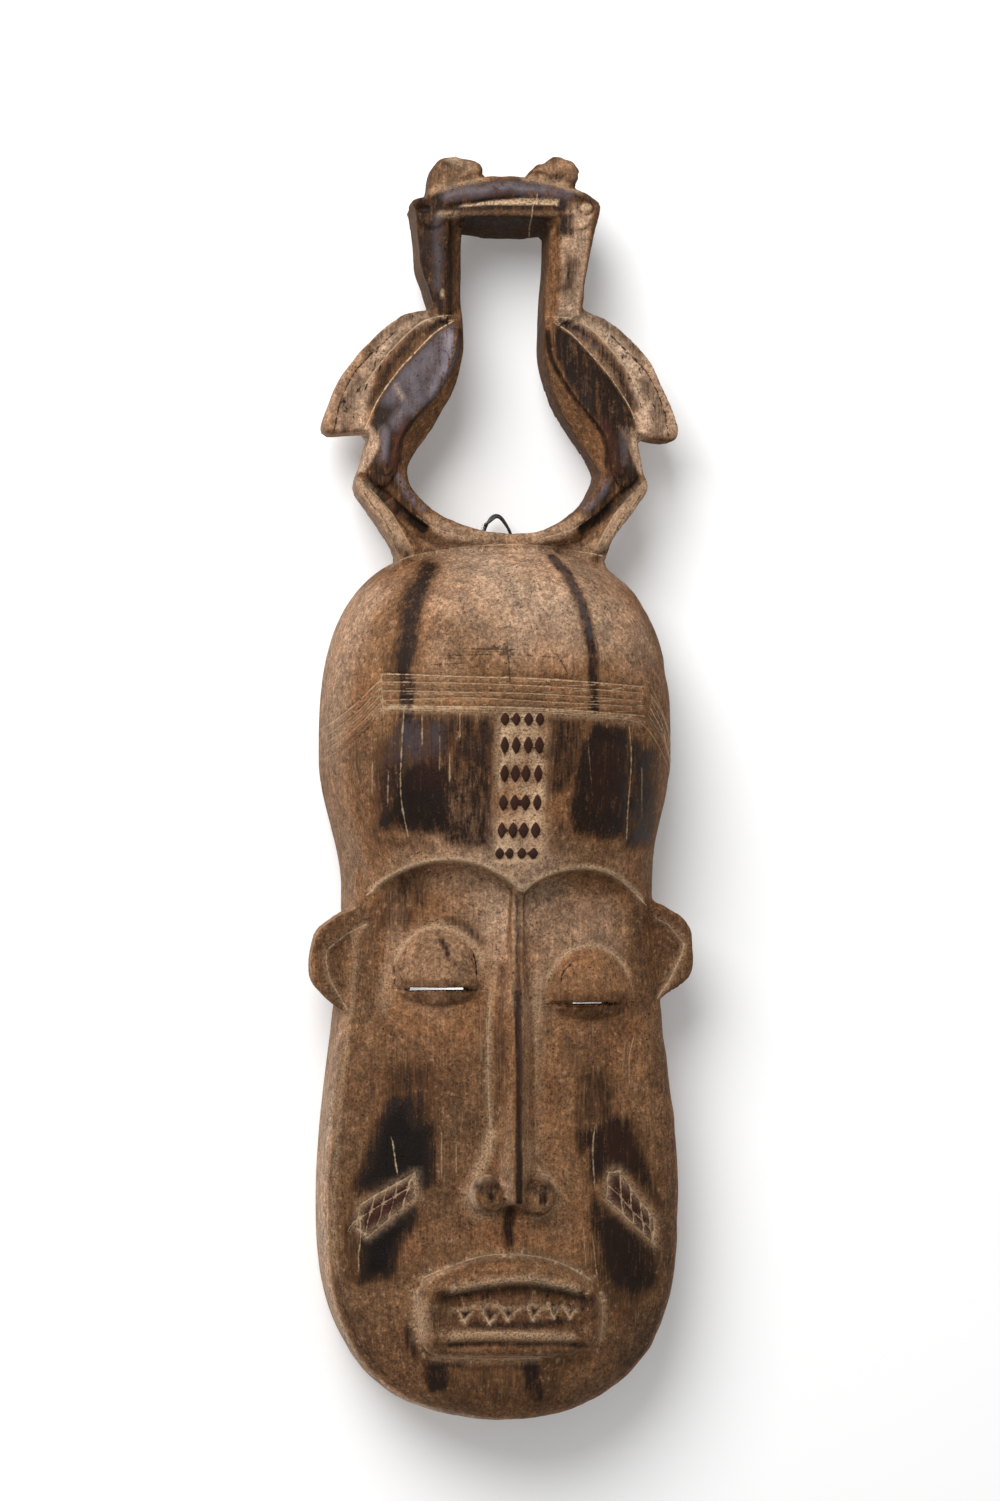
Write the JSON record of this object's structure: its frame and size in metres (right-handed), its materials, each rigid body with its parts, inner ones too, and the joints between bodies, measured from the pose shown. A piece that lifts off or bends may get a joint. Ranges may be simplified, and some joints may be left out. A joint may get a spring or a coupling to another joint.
{
  "type": "ritual mask",
  "caption": "Long carved wooden face mask, hollow behind, with closed eyes, bared teeth and a crest of facing birds whose beaks are joined.",
  "frame": {"origin": "middle of the mask's width and length, in the plane of its back rim", "axes": "+Z out of the face, +Y up the face towards the birds, +X to the viewer's right"},
  "size_m": [0.1618, 0.528, 0.0864],
  "materials": {
    "carved_wood": "hand-carved hardwood, worn matte brown with dark smoked patina and pale worn edges",
    "coated_wire": "black plastic coated steel wire"
  },
  "bodies": {
    "root": {"mask": "carved_wood", "hanging_wire": "coated_wire"}
  },
  "joints": []
}
